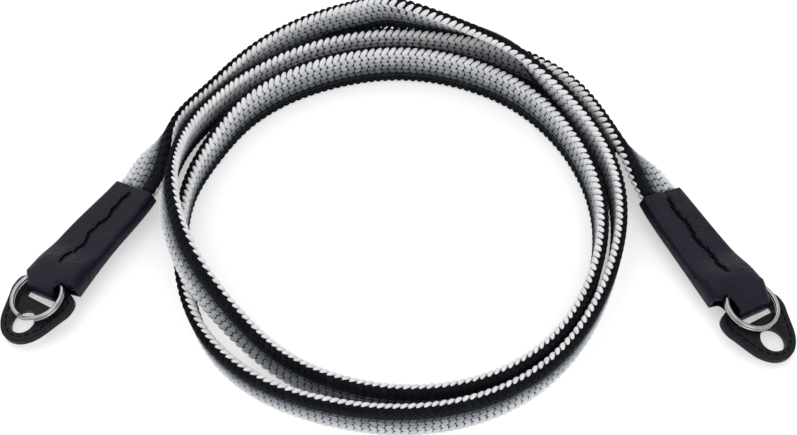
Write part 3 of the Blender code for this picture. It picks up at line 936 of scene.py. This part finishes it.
def buildTab(side):
    end = ends[side]
    matrix, start = tabMatrix(end)
    wideEnd = start - tab["bar"]
    middle, groove = tab["stitchInset"], tab["grooveHalf"]
    lower = [(middle + groove, 0.0), (middle, tab["grooveDepth"]), (middle - groove, 0.0)] + tab["cutEdge"]
    upper = [(inset, tab["thickness"] - height) for inset, height in reversed(lower)]
    sections = []
    for inset, height in lower + upper:
        outline = tabOutline(inset, 120)[0]
        level = levels["tabBottom"] + height
        sections.append([matrix @ Vector((wideEnd + x, y, level)) for x, y in outline])
    piece = addPiece("leather_tab_" + side, loft(sections), finishes["tabLeather"], 180)
    hole = ellipse(wideEnd + tab["hole"], 0, tab["holeLength"] / 2, tab["holeWidth"] / 2, 64)
    slotHalf = (end["neck"] + tab["slotMargin"]) / 2
    corner = tab["slotLength"] * tab["slotCorner"]
    slot = [(start + tab["slotLength"] / 2 + x, y) for x, y in
            roundedRectangle(tab["slotLength"] / 2, -slotHalf, slotHalf, corner, 6)]
    cut(piece, [prism(outline, -tab["cutReach"], tab["cutReach"], matrix) for outline in (hole, slot)])
    soften(piece, tab["softEdge"], edgeAngle=60, sharp=50)
    return piece


def buildTabThread(side):
    seam = seams["tab"]
    matrix, start = tabMatrix(ends[side])
    turned = matrix.to_3x3()
    outline, tangent = tabOutline(tab["stitchInset"], 400)
    outline = outline + (start - tab["bar"], 0)
    step = stepsAlong(outline)
    faces = ((levels["tabTop"] - tab["threadSunk"], 1), (levels["tabBottom"] + tab["threadSunk"], -1))
    rows = []
    for at in np.linspace(0, step[-1], int(step[-1] / seam["pitch"]) + 1):
        x, y, dx, dy = (np.interp(at, step, column) for column in np.c_[outline, tangent].T)
        direction = turned @ Vector((dx, dy, 0)).normalized()
        for height, out in faces:
            rows.append((matrix @ Vector((x, y, height)), direction, turned @ Vector((0, 0, out))))
    return sewThread("thread_tab_" + side, seam, rows)


def buildRing(side):
    end = ends[side]
    matrix = endMatrix(end)
    radius = splitRing["wire"] / 2
    middle = splitRing["diameter"] / 2 - radius
    jog = math.radians(splitRing["jog"])
    first, last = jog * splitRing["cutShare"], 4 * math.pi - jog * splitRing["cutShare"]
    centre = Vector((ringCentre, outerSide(end), levels["ringBottom"] + radius))
    section = ellipse(middle, 0, radius, radius * splitRing["flatness"], splitRing["sides"])
    sections = []
    for t in np.linspace(first, last, splitRing["sections"] + 1):
        climb = splitRing["turnPitch"] * eased((t - (2 * math.pi - jog / 2)) / jog)
        turn = Matrix.Rotation(t + math.radians(end["cutTurn"]), 4, "Z")
        sections.append([matrix @ (centre + turn @ Vector((out, 0, up + climb))) for out, up in section])
    return addPiece("split_ring_" + side, loft(sections), finishes["nickel"], 50)


# Camera, floor and light

camera = {"elevation": 58.0, "distance": 0.55, "lens": 96.9, "aim": (0.0, 0.002, 0.0)}

stage = {
    "floorHalf": 3.0,
    "roomStrength": 0.90,
    "lights": {
        "softKey": {"place": (-0.35, 0.45, 1.1), "size": 1.6, "power": 6.0},
        "softFront": {"place": (0.4, -0.9, 0.9), "size": 0.8, "power": 3.5},
    },
}


def lookAt(thing, target):
    direction = Vector(target) - thing.location
    thing.rotation_euler = direction.to_track_quat("-Z", "Y").to_euler()


def addCamera():
    data = bpy.data.cameras.new("camera")
    data.sensor_width = 36.0
    data.lens = camera["lens"]
    data.clip_start = 0.01
    thing = addObject("camera", data)
    aim = Vector(camera["aim"]) + Vector(shift)
    tilt = math.radians(camera["elevation"])
    thing.location = aim + Vector((0, -math.cos(tilt), math.sin(tilt))) * camera["distance"]
    lookAt(thing, aim)
    bpy.context.scene.camera = thing


def addFloor():
    mesh = bpy.data.meshes.new("floor")
    bm = bmesh.new()
    bmesh.ops.create_grid(bm, x_segments=2, y_segments=2, size=stage["floorHalf"])
    bm.to_mesh(mesh)
    bm.free()
    mesh.materials.append(floorFinish())
    addObject("floor", mesh)


def addLights():
    world = bpy.data.worlds.new("softRoom")
    world.use_nodes = True
    background = world.node_tree.nodes["Background"]
    background.inputs["Color"].default_value = (1, 1, 1, 1)
    background.inputs["Strength"].default_value = stage["roomStrength"]
    bpy.context.scene.world = world
    for name, light in stage["lights"].items():
        data = bpy.data.lights.new(name, "AREA")
        data.energy = light["power"]
        data.size = light["size"]
        thing = addObject(name, data)
        thing.location = light["place"]
        lookAt(thing, (0, 0, 0))
    bpy.context.scene.view_settings.view_transform = "Standard"


# The scene

addCamera()
addFloor()
addLights()
print("camera, floor and light done")

finishes = {
    "yarn": yarnFinish(),
    "core": coreFinish(),
    "leather": leatherFinish("sleeveLeather"),
    "tabLeather": leatherFinish("tabLeather"),
    "thread": threadFinish(),
    "nickel": nickelFinish(),
}
stitches = stitchTree()
print("finishes and stitch tree done")

core, corePath = buildCore()
yarnPieces = []
for name in yarns:
    piece = buildYarn(name)
    yarnPieces.append(piece)
    print(name, len(piece.data.polygons), "faces")

solids = [
    (buildSleeve, "sleeve_leather", "sleeve_"),
    (buildTab, "protector_leather", "protector_"),
    (buildRing, "ring_steel", "ring_"),
]
threads = [
    (buildSleeveThread, "sleeve_leather"),
    (buildTabThread, "protector_leather"),
]
for side in ends:
    for build, slot, node in solids:
        piece = build(side)
        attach(piece, "root")
        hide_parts(node + side)
        print(piece.name, len(piece.data.polygons), "faces")
    for build, slot in threads:
        piece = build(side)
        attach(piece, "root")
        print(piece.name, len(piece.data.polygons), "faces")

for piece in [core] + yarnPieces:
    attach(piece, "root")
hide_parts("strap_band")
